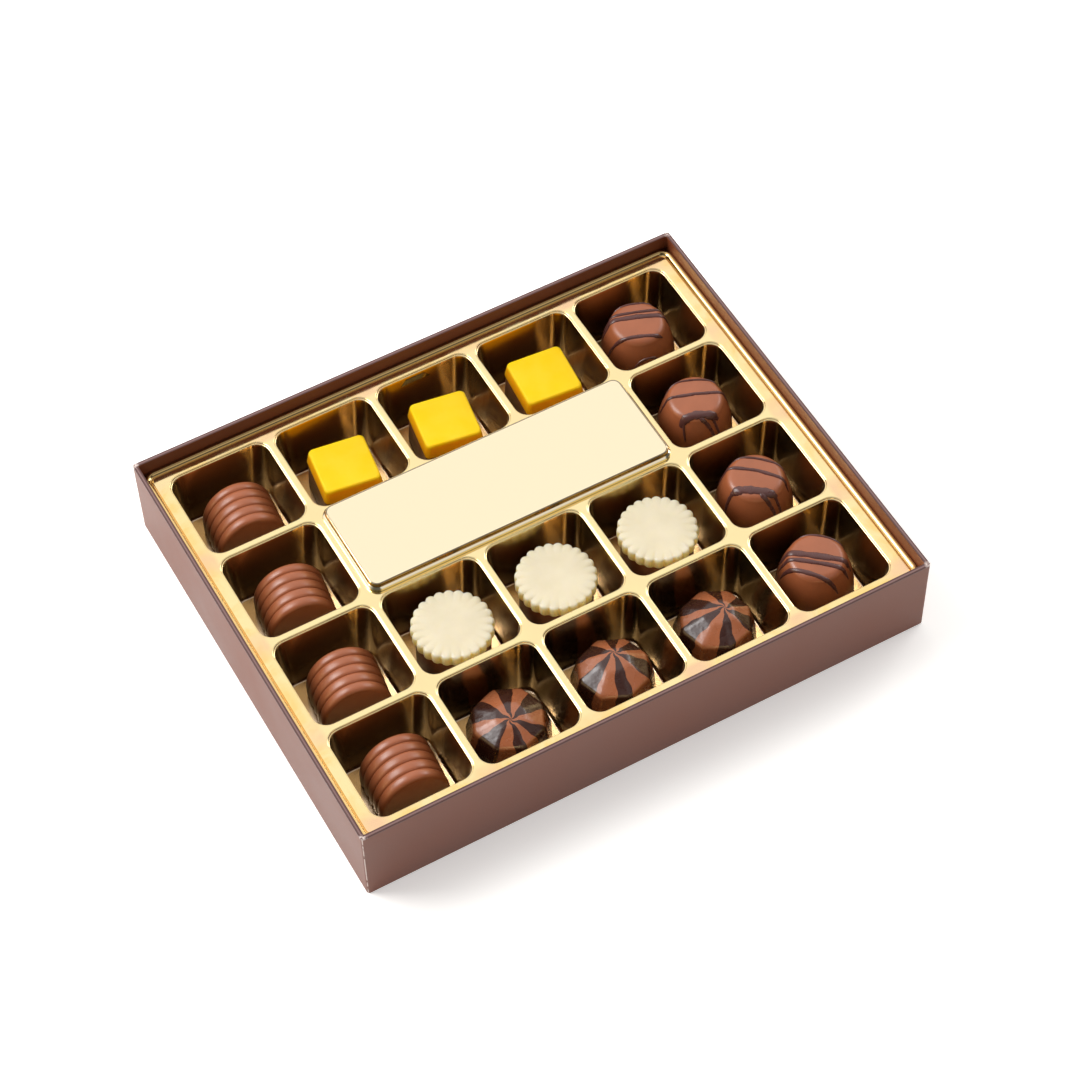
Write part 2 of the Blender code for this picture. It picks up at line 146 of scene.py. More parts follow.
class ChocolateSettings(bpy.types.PropertyGroup):
    """Sizes and colours of the chocolates."""

    log_width: length("Log width", "Width of a ribbed log across its arch", 23.9)
    log_length: length("Log length", "Length of a ribbed log across its ribs", 17.6)
    log_height: length("Log height", "Height of a ribbed log", 18.4)
    log_groove: length("Log groove", "Depth of the grooves between its ribs", 0.6)
    log_ribs: IntProperty(name="Log ribs", description="Ribs on a log", default=5, min=1)
    block_top: length("Block top", "Width of a yellow cap at its top", 18.6)
    block_cap: length("Block cap", "Height of a yellow cap", 5.4)
    block_height: length("Block height", "Height of a yellow-capped block", 17.2)
    disc_radius: length("Disc radius", "Radius of a white cap", 13.3)
    disc_cap: length("Disc cap", "Height of a white cap", 4.8)
    disc_height: length("Disc height", "Height of a white-capped disc", 18.0)
    disc_scallops: IntProperty(
        name="Disc scallops", description="Scallops round a white cap", default=24, min=6,
    )
    swirl_foot: length("Swirl foot", "Corner radius of a faceted dome at its foot", 14.2)
    swirl_shoulder: length("Swirl shoulder", "Corner radius of its shoulder", 11.6)
    swirl_height: length("Swirl height", "Height of a faceted dome", 15.3)
    swirl_side: length("Swirl side", "Height of its steep facets", 11.8)
    dome_radius: length("Dome radius", "Radius of a striped dome", 13.0)
    dome_shoulder: length("Dome shoulder", "Radius of its shoulder", 9.8)
    dome_height: length("Dome height", "Height of a striped dome", 20.0)
    dome_round: length("Dome rounding", "Rounding of its shoulder", 2.8)
    milk: colour("Milk", "Colour of the milk chocolate", (0.335, 0.098, 0.038))
    caramel: colour("Caramel", "Colour of the light wedges", (0.385, 0.122, 0.050))
    dark: colour("Dark", "Colour of the dark chocolate", (0.042, 0.012, 0.008))
    drizzle: colour("Drizzle", "Colour of the dark drizzle", (0.085, 0.030, 0.026))
    yellow: colour("Yellow", "Colour of the yellow caps", (1.0, 0.58, 0.003))
    # Painted shade: the deeper orange low on the yellow caps' sides stands for their shade.
    painted_shade_amber: colour("Amber", "Colour low on the sides of the yellow caps", (1.0, 0.42, 0.004))
    white: colour("White", "Colour of the white caps", (0.74, 0.66, 0.48))
    # Painted light: the brighter, yellower colour low on the white caps' sides stands for light
    # glowing through them.
    painted_side_glow: colour("Butter", "Colour low on the sides of the white caps", (1.0, 0.78, 0.44))


class StageSettings(bpy.types.PropertyGroup):
    """The floor, the light and the camera."""

    floor: colour("Floor", "Colour of the floor", (0.93, 0.905, 0.875))
    key_power: number("Key light", "Power of the light behind the box on its left", 8.5,
                      unit="POWER")
    side_power: number("Side light", "Power of the light on the box's right", 3.9, unit="POWER")
    sky_back: number("Back light", "Brightness of the studio behind the box", 1.1)
    sky_front: number("Front light", "Brightness of the studio before the box", 0.10)
    sky_low: number("Low light", "Brightness of the studio low all round", 0.75)
    card: number("Card", "Brightness of the pale card high before the box", 0.7)
    lens: number("Lens", "Focal length of the camera in millimetres", 101.556, low=1.0)


# Modelling helpers

def deselect():
    """Nothing stays selected from the frame or from an earlier piece."""
    bpy.ops.object.select_all(action="DESELECT")


def choose(*objects):
    """Select these objects alone, with the first one active."""
    deselect()
    for piece in objects:
        piece.select_set(True)
    bpy.context.view_layer.objects.active = objects[0]


def begin_edit(action="DESELECT"):
    """Enter edit mode with nothing selected, or with everything."""
    bpy.ops.object.mode_set(mode="EDIT")
    bpy.ops.mesh.select_all(action=action)


def end_edit():
    """Leave edit mode."""
    bpy.ops.object.mode_set(mode="OBJECT")


# What a test reads of each part of a mesh: a vertex's place, the places of an edge's two ends, or
# a face's middle and normal

READINGS = {
    "VERT": lambda bm: ((vert, (vert.co,)) for vert in bm.verts),
    "EDGE": lambda bm: ((edge, [vert.co for vert in edge.verts]) for edge in bm.edges),
    "FACE": lambda bm: ((face, (face.calc_center_median(), face.normal)) for face in bm.faces),
}


def pick(kind, test):
    """Select the vertices, edges or faces that pass a test."""
    bpy.ops.mesh.select_mode(type=kind)
    bpy.ops.mesh.select_all(action="DESELECT")
    mesh = bpy.context.object.data
    bm = bmesh.from_edit_mesh(mesh)
    bm.normal_update()
    for part, facts in READINGS[kind](bm):
        if test(*facts):
            part.select_set(True)
    if kind == "VERT":
        bm.select_flush(True)
    bmesh.update_edit_mesh(mesh)


def pick_top():
    """Select the faces that look up."""
    pick("FACE", lambda middle, normal: normal.z > 0.9)


def near(value, aim, slack=0.02 * MM):
    """Whether a coordinate lies at a height or place."""
    return abs(value - aim) < slack


def extrude(*move):
    """Extrude what is selected and move it."""
    bpy.ops.mesh.extrude_region_move(TRANSFORM_OT_translate={"value": move})


def stretch(x, y, z, centre=(0.0, 0.0, 0.0)):
    """Stretch what is selected about a centre."""
    bpy.ops.transform.resize(value=(x, y, z), center_override=centre)


def build_up(levels):
    """Extrude the selected face upwards through levels of reach and height."""
    for (reach, z), (next_reach, next_z) in zip(levels, levels[1:]):
        extrude(0.0, 0.0, next_z - z)
        factor = next_reach / reach
        stretch(factor, factor, 1.0, (0.0, 0.0, next_z))


def rounded_edge(reach, z, rounding, steps, outwards=-1.0):
    """Levels over a rounded edge from upright to level, closing in or opening outwards."""
    levels = []
    for step in range(steps + 1):
        angle = math.pi / 2.0 * step / steps
        levels.append((
            reach + outwards * rounding * (1.0 - math.cos(angle)),
            z - rounding * (1.0 - math.sin(angle)),
        ))
    return levels


def climb_in(steps):
    """Step the selected face inwards and upwards, by millimetres of inset and of climb."""
    for inset, climb in steps:
        if inset:
            bpy.ops.mesh.inset(thickness=inset * MM)
            bpy.ops.transform.translate(value=(0.0, 0.0, climb * MM))
        else:
            extrude(0.0, 0.0, climb * MM)


def bevel(offset, segments):
    """Bevel the selected edges."""
    bpy.ops.mesh.bevel(
        offset=offset, offset_type="OFFSET", segments=segments, affect="EDGES",
        clamp_overlap=False,
    )


def round_upright(radius, segments):
    """Round the edges that aren't level."""
    pick("EDGE", lambda a, b: not near(a.z, b.z))
    bevel(radius, segments)


def apply_modifier(piece, kind, **settings):
    """Add a modifier with these settings and apply it."""
    choose(piece)
    modifier = piece.modifiers.new(kind.lower(), kind)
    for key, value in settings.items():
        setattr(modifier, key, value)
    bpy.ops.object.modifier_apply(modifier=modifier.name)


def apply_place(piece):
    """Put an object's place, turn and size into its mesh."""
    choose(piece)
    bpy.ops.object.transform_apply(location=True, rotation=True, scale=True)


def block(name, size, place):
    """A cube of this size, with its middle at this place."""
    deselect()
    bpy.ops.mesh.primitive_cube_add(size=1.0, location=place)
    piece = bpy.context.object
    piece.name = name
    piece.scale = size
    apply_place(piece)
    return piece


def raised(name, levels, corners=None):
    """A square piece, or one of this many corners, built up through its levels in edit mode."""
    reach, z = levels[0]
    deselect()
    if corners:
        bpy.ops.mesh.primitive_circle_add(
            vertices=corners, radius=reach, fill_type="NGON", location=(0.0, 0.0, z),
        )
    else:
        bpy.ops.mesh.primitive_plane_add(size=2.0 * reach, location=(0.0, 0.0, z))
    piece = bpy.context.object
    piece.name = name
    apply_place(piece)
    begin_edit("SELECT")
    build_up(levels)
    return piece


def outward(piece):
    """Merge doubles and turn every face outwards."""
    choose(piece)
    begin_edit("SELECT")
    bpy.ops.mesh.remove_doubles(threshold=0.001 * MM)
    bpy.ops.mesh.normals_make_consistent(inside=False)
    end_edit()


def smooth(piece, angle=40.0):
    """Smooth shading that leaves the flat faces flat."""
    choose(piece)
    bpy.ops.object.shade_smooth_by_angle(angle=math.radians(angle))
    apply_modifier(piece, "WEIGHTED_NORMAL", mode="FACE_AREA", weight=50, keep_sharp=True)


def paint(piece, *materials, rule=None):
    """Give a piece its materials, each face by the number that a rule reads from its middle."""
    piece.data.materials.clear()
    for material in materials:
        piece.data.materials.append(material)
    for face in piece.data.polygons:
        face.material_index = rule(face.center) if rule else 0


def box_of(piece):
    """Lowest and highest corner of a mesh."""
    spots = [vert.co for vert in piece.data.vertices]
    low = Vector(min(spot[axis] for spot in spots) for axis in range(3))
    high = Vector(max(spot[axis] for spot in spots) for axis in range(3))
    return low, high


def remember_place(piece):
    """Store each vertex's own place on its chocolate, in millimetres, for patterns on it."""
    spots = piece.data.attributes.new("own_place", "FLOAT_VECTOR", "POINT")
    values = [part / MM for vert in piece.data.vertices for part in vert.co]
    spots.data.foreach_set("vector", values)


def copy_of(piece, name):
    """A copy of a finished piece with a mesh of its own."""
    choose(piece)
    bpy.ops.object.duplicate(linked=False)
    copy = bpy.context.object
    copy.name = name
    return copy


def settle(piece, node, turn):
    """Turn a chocolate, fit it to the box of its node, and hand it over to the frame."""
    piece.rotation_euler = (0.0, 0.0, math.radians(turn))
    apply_place(piece)
    low, high = box_of(piece)
    node_low, node_high = (Vector(corner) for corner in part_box(node))
    size = high - low
    node_size = node_high - node_low
    piece.scale = [node_size[axis] / size[axis] for axis in range(3)]
    apply_place(piece)
    low, high = box_of(piece)
    piece.location = node_low - low
    apply_place(piece)
    hand_over(piece, node)


def set_out(piece, name, node, turns):
    """Settle a copy of a chocolate in each of its pits and delete the pattern."""
    remember_place(piece)
    for index, turn in enumerate(turns, start=1):
        settle(copy_of(piece, f"{name}_{index}"), f"{node}_{index}", turn)
    remove(piece)


def hand_over(piece, node):
    """The piece stands for its CAD node: the node is hidden and the piece is attached to the root
    body.
    """
    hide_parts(node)
    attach(piece, "root")


def remove(*pieces):
    """Delete helper objects."""
    choose(*pieces)
    bpy.ops.object.delete()


# Material helpers

def plug(tree, node, wires):
    """Give a node's inputs their wires or values, and a colour its alpha."""
    for key, value in wires.items():
        socket = node.inputs[key]
        if isinstance(value, bpy.types.NodeSocket):
            tree.links.new(value, socket)
        elif socket.type == "RGBA":
            socket.default_value = (*value[:3], 1.0)
        else:
            socket.default_value = value


def add_node(tree, kind, wires=None, **settings):
    """A shader node with settings, and with wires or values for its inputs."""
    made = tree.nodes.new(kind)
    for key, value in settings.items():
        setattr(made, key, value)
    plug(tree, made, wires or {})
    return made


def ramp(tree, factor, stops, interpolation="LINEAR"):
    """A colour ramp with stops of position and colour."""
    made = add_node(tree, "ShaderNodeValToRGB", {"Fac": factor})
    elements = made.color_ramp.elements
    made.color_ramp.interpolation = interpolation
    while len(elements) > 1:
        elements.remove(elements[-1])
    elements[0].position, elements[0].color = stops[0][0], (*stops[0][1], 1.0)
    for position, shade in stops[1:]:
        elements.new(position).color = (*shade, 1.0)
    return made.outputs["Color"]


def maths(tree, operation, *values):
    """A Math node's value."""
    made = add_node(tree, "ShaderNodeMath", dict(enumerate(values)), operation=operation)
    return made.outputs["Value"]


def product(tree, result, *others):
    """Values multiplied together."""
    for value in others:
        result = maths(tree, "MULTIPLY", result, value)
    return result


def mix_colours(tree, factor, first, second):
    """Two colours mixed by a factor."""
    made = add_node(tree, "ShaderNodeMix", {0: factor, 6: first, 7: second}, data_type="RGBA")
    return made.outputs[2]


def spread(tree, value, low, high, to_low=0.0, to_high=1.0):
    """A value carried over from one range to another, held at its ends."""
    made = add_node(tree, "ShaderNodeMapRange", {
        "Value": value, "From Min": low, "From Max": high, "To Min": to_low, "To Max": to_high,
    })
    return made.outputs["Result"]


def object_place(tree):
    """Object coordinates, which are metres in the frame."""
    return tree.nodes.new("ShaderNodeTexCoord").outputs["Object"]


def own_place(tree):
    """A chocolate's own coordinates in millimetres."""
    made = tree.nodes.new("ShaderNodeAttribute")
    made.attribute_name = "own_place"
    return made.outputs["Vector"]


def parts_of(tree, place):
    """The parts X, Y and Z of a place."""
    return add_node(tree, "ShaderNodeSeparateXYZ", {"Vector": place}).outputs


def off_middle(tree, parts):
    """How far a place is from the middle of the box, to its sides and to its front or back."""
    return [maths(tree, "ABSOLUTE", parts[axis]) for axis in ("X", "Y")]


def by_walls(tree, operation, reaches, high, start, end, *strengths):
    """A mask between two depths in from the outer walls, joined over both pairs of walls."""
    return maths(tree, operation, *(
        spread(tree, reach, far - start, far - end, *strengths)
        for reach, far in zip(reaches, high.xy)
    ))


def bump(tree, height, distance, strength=1.0):
    """A normal that follows a height."""
    made = add_node(tree, "ShaderNodeBump", {
        "Strength": strength, "Distance": distance, "Height": height,
    })
    return made.outputs["Normal"]


def noise(tree, place, scale, detail=3.0, roughness=0.5, distortion=0.0):
    """A noise pattern's value."""
    made = add_node(tree, "ShaderNodeTexNoise", {
        "Vector": place, "Scale": scale, "Detail": detail, "Roughness": roughness,
        "Distortion": distortion,
    })
    return made.outputs["Fac"]


def new_material(name):
    """A material with its Principled shader."""
    material = bpy.data.materials.new(name)
    material.use_nodes = True
    tree = material.node_tree
    return material, tree, tree.nodes["Principled BSDF"]


def new_group(name, inputs, outputs):
    """An empty shader node group with named sockets."""
    tree = bpy.data.node_groups.new(name, "ShaderNodeTree")
    for label, kind, default in inputs:
        socket = tree.interface.new_socket(name=label, in_out="INPUT", socket_type=kind)
        socket.default_value = default
    for label, kind in outputs:
        tree.interface.new_socket(name=label, in_out="OUTPUT", socket_type=kind)
    given = tree.nodes.new("NodeGroupInput")
    result = tree.nodes.new("NodeGroupOutput")
    return tree, given.outputs, result


def moulded_surface_group():
    """Moulded chocolate: faint cloudy colour, an uneven gloss and small ripples and pits."""
    name = "moulded surface"
    if name in bpy.data.node_groups:
        return bpy.data.node_groups[name]
    tree, given, result = new_group(
        name,
        (
            ("Colour", "NodeSocketColor", (0.5, 0.5, 0.5, 1.0)),
            ("Cloud Colour", "NodeSocketColor", (0.5, 0.5, 0.5, 1.0)),
            ("Gloss", "NodeSocketFloat", 0.4),
            ("Gloss Range", "NodeSocketFloat", 0.1),
            ("Ripple", "NodeSocketFloat", 1.0),
            ("Pits", "NodeSocketFloat", 1.0),
        ),
        (
            ("Colour", "NodeSocketColor"),
            ("Roughness", "NodeSocketFloat"),
            ("Normal", "NodeSocketVector"),
        ),
    )
    place = object_place(tree)
    clouds = spread(tree, noise(tree, place, 140.0, 4.0), 0.35, 0.70)
    tone = mix_colours(tree, clouds, given["Colour"], given["Cloud Colour"])
    smudges = spread(tree, noise(tree, place, 320.0, 3.0), 0.3, 0.7, -1.0, 1.0)
    gloss = maths(tree, "MULTIPLY_ADD", smudges, given["Gloss Range"], given["Gloss"])
    ripples = product(tree, noise(tree, place, 260.0, 2.0), given["Ripple"])
    grains = add_node(tree, "ShaderNodeTexVoronoi", {"Vector": place, "Scale": 900.0})
    holes = spread(tree, grains.outputs["Distance"], 0.0, 0.12, -0.25, 0.0)
    height = maths(tree, "MULTIPLY_ADD", holes, given["Pits"], ripples)
    plug(tree, result, {
        "Colour": tone, "Roughness": gloss, "Normal": bump(tree, height, 0.12 * MM),
    })
    return tree


def moulded_material(name, tones_of, gloss, gloss_range=0.06, ripple=0.5, pits=0.6, glow=0.0,
                     shine=0.5):
    """A moulded chocolate, its colour and cloud colour drawn by a function in its node tree."""
    if name in bpy.data.materials:
        return bpy.data.materials[name]
    material, tree, shader = new_material(name)
    tone, cloud = tones_of(tree)
    surface = add_node(tree, "ShaderNodeGroup", {
        "Colour": tone, "Cloud Colour": cloud, "Gloss": gloss, "Gloss Range": gloss_range,
        "Ripple": ripple, "Pits": pits,
    }, node_tree=moulded_surface_group()).outputs
    plug(tree, shader, {
        "Base Color": surface["Colour"], "Roughness": surface["Roughness"],
        "Normal": surface["Normal"], "Specular IOR Level": shine, "Subsurface Weight": glow,
        "Subsurface Radius": (1.0, 0.90, 0.60), "Subsurface Scale": 5.0 * MM,
    })
    return material


def chocolate_material(name, tone, cloud, gloss, side=None, **finish):
    """A moulded chocolate of one colour, or with painted light in another colour from a height
    downwards.
    """
    def tones_of(tree):
        if not side:
            return tone, cloud
        # The colour low on the piece is painted light: shade on the milk chocolate and the yellow
        # caps, a glow on the white caps' sides.
        painted_low_tone, low, high = side
        lift = spread(tree, parts_of(tree, own_place(tree))["Z"], low / MM, high / MM)
        return [mix_colours(tree, lift, painted_low_tone, shade) for shade in (tone, cloud)]

    return moulded_material(name, tones_of, gloss, **finish)


def scaled(tone, factor):
    """A colour made lighter or darker."""
    return tuple(min(1.0, part * factor) for part in tone[:3])


def milk_material(settings):
    """Milk chocolate, with painted shade darkening it from 17 mm high down to its foot."""
    return chocolate_material(
        "milk chocolate", settings.milk, scaled(settings.milk, 1.14), 0.36, shine=0.6,
        # Painted shade: the milk chocolate darkens to a third of its colour from 17 mm down to 5
        # mm.
        side=(scaled(settings.milk, 0.34), 5.0 * MM, 17.0 * MM),
    )


# The tray

def rim_lines(tree, reaches, on_rim, tone, settings):
    """Dark seams along both edges of the rim, with a faint painted highlight line between them in
    the worn-edge colour.
    """
    seam = scaled(settings.paper, 0.22)
    # The third line is a painted highlight, drawn in the worn-edge colour along the middle of the
    # rim.
    for depth, shade, strength in ((settings.board - 0.18 * MM, seam, 0.8),
                                   (0.16 * MM, seam, 0.7), (0.72 * MM, settings.worn, 0.18)):
        for (wall, other), far in ((reaches, TRAY_HIGH.xy), (reaches[::-1], TRAY_HIGH.yx)):
            off_line = maths(tree, "ABSOLUTE", maths(tree, "SUBTRACT", wall, far.x - depth))
            line = spread(tree, off_line, 0.08 * MM, 0.20 * MM, strength, 0.0)
            within = spread(tree, other, far.y - depth + 0.1 * MM, far.y - depth + 0.2 * MM,
                            1.0, 0.0)
            tone = mix_colours(tree, product(tree, line, within, on_rim), tone, shade)
    return tone


def board_material(settings):
    """Brown paper over board: fine grain, soft mottling, pale rubbed edges, and painted warm
    bounce light on the paper inside the tray.
    """
    material, tree, shader = new_material("brown board")
    place = object_place(tree)
    mottle = noise(tree, place, 28.0, 4.0)
    fibres = noise(tree, place, 2600.0, 2.0)
    tone = mix_colours(tree, spread(tree, mottle, 0.3, 0.7), scaled(settings.paper, 0.92),
                       scaled(settings.paper, 1.10))
    tone = mix_colours(tree, spread(tree, fibres, 0.35, 0.65, 0.0, 0.35), tone,
                       scaled(settings.paper, 1.35))
    parts = parts_of(tree, place)
    reaches = off_middle(tree, parts)
    near_edge = by_walls(tree, "MULTIPLY", reaches, TRAY_HIGH, 0.55 * MM, 0.15 * MM)
    scuffs = spread(tree, noise(tree, place, 420.0, 4.0, 0.6), 0.38, 0.50)
    worn = product(tree, spread(tree, near_edge, 0.22, 0.40), scuffs)
    on_rim = spread(tree, parts["Z"], TRAY_HIGH.z - 0.7 * MM, TRAY_HIGH.z - 0.1 * MM)
    at_corner = by_walls(tree, "MULTIPLY", reaches, TRAY_HIGH, 2.2 * MM, 1.2 * MM)
    folds = spread(tree, noise(tree, place, 900.0, 3.0, 0.6, 1.0), 0.48, 0.56)
    worn = maths(tree, "MAXIMUM", worn, product(tree, at_corner, on_rim, folds))
    tone = mix_colours(tree, on_rim, tone, settings.rim)
    tone = rim_lines(tree, reaches, on_rim, tone, settings)
    # Painted light: the walls inside the tray take the warmer inside colour, for the gold film's
    # bounce light.
    inside = by_walls(tree, "MULTIPLY", reaches, TRAY_HIGH, settings.board - 0.02 * MM,
                      settings.board - 0.06 * MM, 1.0, 0.0)
    tone = mix_colours(tree, inside, tone, settings.inside)
    tone = mix_colours(tree, worn, tone, settings.worn)
    rough = spread(tree, mottle, 0.3, 0.7, 0.38, 0.48)
    grain = maths(tree, "MULTIPLY_ADD", mottle, 3.0, fibres)
    plug(tree, shader, {
        "Base Color": tone, "Roughness": maths(tree, "MULTIPLY_ADD", inside, 0.12, rough),
        "Normal": bump(tree, grain, 0.03 * MM, 0.5),
    })
    return material


class BOX_OT_tray(bpy.types.Operator):
    """Model the paper-covered board tray"""

    bl_idname = "chocolate_box.tray"
    bl_label = "Tray"

    def execute(self, context):
        settings = context.scene.tray
        size = TRAY_HIGH - TRAY_LOW
        top = size.z
        tray = block("tray", size, (0.0, 0.0, top / 2.0))
        begin_edit()
        pick_top()
        bpy.ops.mesh.inset(thickness=settings.board)
        extrude(0.0, 0.0, settings.board - top)
        outer = TRAY_HIGH.x - settings.board / 2.0
        pick("EDGE", lambda a, b: not near(a.z, b.z) and abs(a.x) > outer)
        bevel(settings.corner, 5)
        pick("EDGE", lambda a, b: abs(a.z - b.z) > top / 2.0 and abs(a.x) < outer)
        inner_corner = 0.4 * MM
        bevel(inner_corner, 3)
        end_edit()
        apply_modifier(tray, "BEVEL", width=settings.rim_round, segments=4,
                       limit_method="ANGLE", angle_limit=math.radians(50.0))
        outward(tray)
        smooth(tray)
        paint(tray, board_material(settings))
        hand_over(tray, "box_tray")
        return {"FINISHED"}


# The insert

def near_joint(tree, parts, settings):
    """How near a place is to where two ribs of the deck cross."""
    whole_turns = 8.0
    masks = []
    for axis, offset in (("X", 0.5), ("Y", 0.0)):
        turns = maths(tree, "MULTIPLY_ADD", parts[axis], 1.0 / settings.pitch,
                      offset + whole_turns)
        wave = maths(tree, "COSINE", product(tree, turns, 2.0 * math.pi))
        masks.append(spread(tree, wave, 0.45, 0.95))
    return product(tree, *masks)


def plaque_bands(tree, parts, reaches, tone, settings):
    """Bands of painted shade and painted reflection up the plaque's stepped side, and its top
    painted paler as a painted highlight.
    """
    band = 3.0 * MM
    rise = maths(tree, "MULTIPLY_ADD", parts["Z"], 1.0 / band, -settings.deck_height / band)
    # Painted light by height: dark bands of painted shade at the plaque's foot and steps, orange
    # bands of painted reflection, pale painted highlights on a step and on the top.
    bands = ramp(tree, rise, (
        (0.07, settings.painted_dark_band), (0.12, settings.film), (0.34, settings.film),
        (0.39, settings.pale), (0.53, settings.pale), (0.545, settings.painted_dark_band),
        (0.62, settings.painted_dark_band), (0.64, settings.painted_orange_band), (0.71, settings.painted_orange_band),
        (0.73, settings.painted_dark_band), (0.76, settings.painted_dark_band), (0.78, settings.painted_orange_band),
        (0.90, settings.painted_orange_band), (0.915, settings.painted_dark_band), (0.945, settings.painted_dark_band),
        (0.955, settings.pale),
    ))
    across = maths(tree, "ABSOLUTE", maths(tree, "SUBTRACT", parts["Y"], 0.5 * settings.pitch))
    in_length, in_width = (
        spread(tree, reach, half + 1.0 * MM, half + 0.9 * MM)
        for reach, half in ((reaches[0], settings.plaque_half_x),
                            (across, settings.plaque_half_y))
    )
    above = spread(tree, rise, 0.05, 0.07)
    return mix_colours(tree, product(tree, in_length, in_width, above), tone, bands)


def film_material(settings):
    """Gold film: mirror-like, gently wavy and darker in its pits; painted reflection at its
    joints, painted shade on its flange and in the pits' corners, painted light on the pit floors.
    """
    material, tree, shader = new_material("gold film")
    place = object_place(tree)
    parts = parts_of(tree, place)
    reaches = off_middle(tree, parts)
    joint = near_joint(tree, parts, settings)
    patches = spread(tree, noise(tree, place, 75.0, 3.0), 0.35, 0.65, 0.25, 1.0)
    margin = by_walls(tree, "MAXIMUM", reaches, INSERT_HIGH, 7.5 * MM, 3.5 * MM)
    streaks = spread(tree, noise(tree, place, 60.0, 4.0, 0.6, 1.5), 0.40, 0.62, 0.05, 0.95)
    tone = mix_colours(tree, product(tree, margin, streaks), settings.film, settings.gilded)
    # Painted reflection: the film turns reddish where the deck's ribs cross.
    painted_joint_reflection = product(tree, joint, patches, spread(tree, margin, 0.0, 0.4, 0.25, 1.0))
    tone = mix_colours(tree, painted_joint_reflection, tone, settings.painted_joint_reflection)
    # Painted shade: the flange round the deck is painted a darker gold, at 60 % of that colour
    # along the back.
    flange_start, flange_end = 2.35 * MM, 2.1 * MM
    outer = by_walls(tree, "MAXIMUM", reaches, INSERT_HIGH, flange_start, flange_end)
    at_back = spread(tree, parts["Y"], INSERT_HIGH.y - flange_start, INSERT_HIGH.y - flange_end)
    flange = mix_colours(tree, at_back, settings.flange, scaled(settings.flange, 0.6))
    tone = mix_colours(tree, outer, tone, flange)
    tone = plaque_bands(tree, parts, reaches, tone, settings)
    deck = settings.deck_height
    in_pit = spread(tree, parts["Z"], deck - 0.5 * MM, deck - 1.6 * MM)
    # Painted shade: the drawn film darkens to 30 % of its colour in the pits' corners, where the
    # ribs cross.
    drawn = mix_colours(tree, joint, settings.drawn, scaled(settings.drawn, 0.30))
    tone = mix_colours(tree, in_pit, tone, drawn)
    # Painted light: the film turns brighter on the pits' floors.
    on_floor = spread(tree, parts["Z"], settings.pit_floor + 0.9 * MM,
                      settings.pit_floor + 0.4 * MM)
    tone = mix_colours(tree, on_floor, tone, settings.floor)
    smears = noise(tree, place, 150.0, 4.0)
    rough = spread(tree, smears, 0.3, 0.7, settings.roughness - 0.03, settings.roughness + 0.04)
    waves = noise(tree, place, 42.0, 2.0, 0.4)
    ripple = maths(tree, "MULTIPLY_ADD", noise(tree, place, 260.0, 2.0), 0.06, waves)
    plug(tree, shader, {
        "Base Color": tone, "Metallic": 1.0,
        "Roughness": maths(tree, "MULTIPLY_ADD", in_pit, 0.11, rough),
        "Normal": bump(tree, ripple, 0.18 * MM),
    })
    return material


def pit_places(settings):
    """The middles of the seventeen pits: columns from the left, rows from the back."""
    places = []
    for row in range(4):
        for column in range(5):
            if row == 1 and 1 <= column <= 3:
                continue
            places.append(((column - 2) * settings.pitch, (1.5 - row) * settings.pitch))
    return places


def pit_cutter(settings):
    """The space of one pit, with a rounded lip at the deck and a rounded edge at its floor."""
    lip = settings.pit_lip
    fillet = 0.9 * MM
    levels = []
    for step in range(5):
        angle = math.pi / 2.0 * step / 4.0
        levels.append((
            settings.pit_half - settings.pit_draft - fillet * (1.0 - math.sin(angle)),
            settings.pit_floor + fillet * (1.0 - math.cos(angle)),
        ))
    land = settings.deck_height - 0.38 * MM
    for reach, z, rounding in ((settings.pit_half, land, lip * 0.6),
                               (settings.pit_half + lip, settings.deck_height, lip * 0.5)):
        levels += rounded_edge(reach, z, rounding, 3, outwards=1.0)
        levels.append((levels[-1][0] + 0.08 * MM, z + 0.01 * MM))
    levels.append((levels[-1][0], settings.deck_height + 1.0 * MM))
    cutter = raised("pit_cutter", levels)
    pick("EDGE", lambda a, b: abs(a.z - b.z) > 1e-6)
    bevel(settings.pit_corner, 8)
    end_edit()
    outward(cutter)
    return cutter


def notch_cutter(settings):
    """A small formed notch high on the back wall of the middle pit of the back row."""
    wall = 1.5 * settings.pitch + settings.pit_half
    notch = block("notch_cutter", (11.0 * MM, 3.0 * MM, 2.6 * MM),
                  (-1.5 * MM, wall, settings.deck_height - 2.7 * MM))
    begin_edit()
    pick_top()
    bpy.ops.transform.resize(value=(0.6, 0.7, 1.0))
    round_upright(0.5 * MM, 3)
    end_edit()
    return notch


def plaque_body(settings):
    """The raised plaque with its stepped side."""
    rise = settings.plaque_rise
    plaque = block(
        "plaque_body",
        (2.0 * settings.plaque_half_x, 2.0 * settings.plaque_half_y, 2.2 * MM),
        (0.0, 0.5 * settings.pitch, settings.deck_height - 0.9 * MM),
    )
    begin_edit()
    round_upright(settings.plaque_corner, 8)
    pick_top()
    climb_in((
        (0.10, 0.15), (0.0, rise / MM - 2.29), (0.10, 0.10), (0.55, 0.45), (0.05, 0.0),
        (0.0, 0.55), (0.05, 0.08), (0.22, 0.26), (0.0, 0.22), (0.05, 0.10), (0.20, 0.06),
        (0.08, -0.12), (0.05, 0.0), (0.10, 0.12),
    ))
    end_edit()
    return plaque


